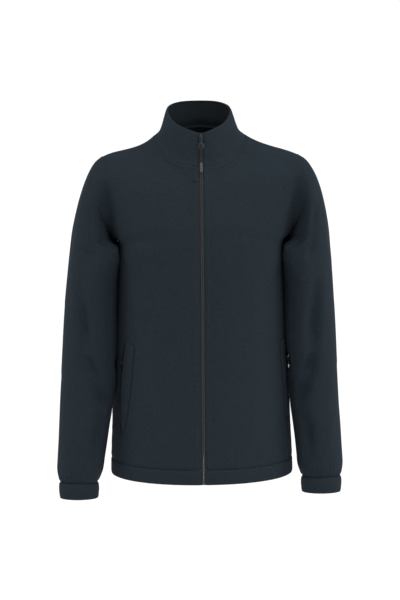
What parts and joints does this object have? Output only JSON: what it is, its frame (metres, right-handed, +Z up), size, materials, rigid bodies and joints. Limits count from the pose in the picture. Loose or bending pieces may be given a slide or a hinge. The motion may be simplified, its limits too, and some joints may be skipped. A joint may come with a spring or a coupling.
{
  "type": "fleece zip jacket",
  "caption": "Micro-fleece zip-up jacket with a stand collar, set-in long sleeves, banded cuffs and hem, side pockets and a zip with a cord pull.",
  "frame": {"origin": "the middle of the neck, at the height of the shoulder seams' neck ends", "axes": "+Z up, -Y out of the front, +X towards the wearer's left"},
  "size_m": [0.5711, 0.2705, 0.7839],
  "materials": {
    "fleece": "matte brushed micro-fleece, dark navy",
    "zip_tape": "woven zip tape and nylon coil, charcoal",
    "metal": "gunmetal plated zinc, satin",
    "pull_cord": "braided pull cord, near black",
    "pull_tip": "moulded grey rubber, satin"
  },
  "bodies": {
    "jacket": {"back": "fleece", "collar": "fleece", "cuff_left": "fleece", "cuff_right": "fleece", "front_left_lower": "fleece", "front_left_upper": "fleece", "front_right_lower": "fleece", "front_right_upper": "fleece", "front_zip_left": "zip_tape", "front_zip_right": "zip_tape", "front_zip_slider": "metal", "hem_band": "fleece", "pocket_slider_left": "metal", "pocket_slider_right": "metal", "pocket_welt_left": "fleece", "pocket_welt_right": "fleece", "pocket_zip_left": "zip_tape", "pocket_zip_right": "zip_tape", "sleeve_left_lower": "fleece", "sleeve_left_upper": "fleece", "sleeve_right_lower": "fleece", "sleeve_right_upper": "fleece"},
    "front_pull": {"front_zip_pull": "metal", "front_zip_pull_cord": "pull_cord", "front_zip_pull_tip": "pull_tip"},
    "pocket_pull_right": {"pocket_pull_right": "metal"},
    "pocket_pull_left": {"pocket_pull_left": "metal"}
  },
  "joints": [
    {"name": "front_pull_swing", "type": "hinge", "parent": "jacket", "child": "front_pull", "pos_m": [0, -0.08202, 0.00086], "axis": [-1, 0, 0], "range_deg": [0, 150]},
    {"name": "pocket_pull_right_swing", "type": "hinge", "parent": "jacket", "child": "pocket_pull_right", "pos_m": [-0.16067, -0.05848, -0.44679], "axis": [-0.4556, 0.8857, 0.0895], "range_deg": [0, 140]},
    {"name": "pocket_pull_left_swing", "type": "hinge", "parent": "jacket", "child": "pocket_pull_left", "pos_m": [0.17369, -0.02408, -0.44679], "axis": [-0.2532, -0.9653, -0.0643], "range_deg": [0, 14]}
  ]
}
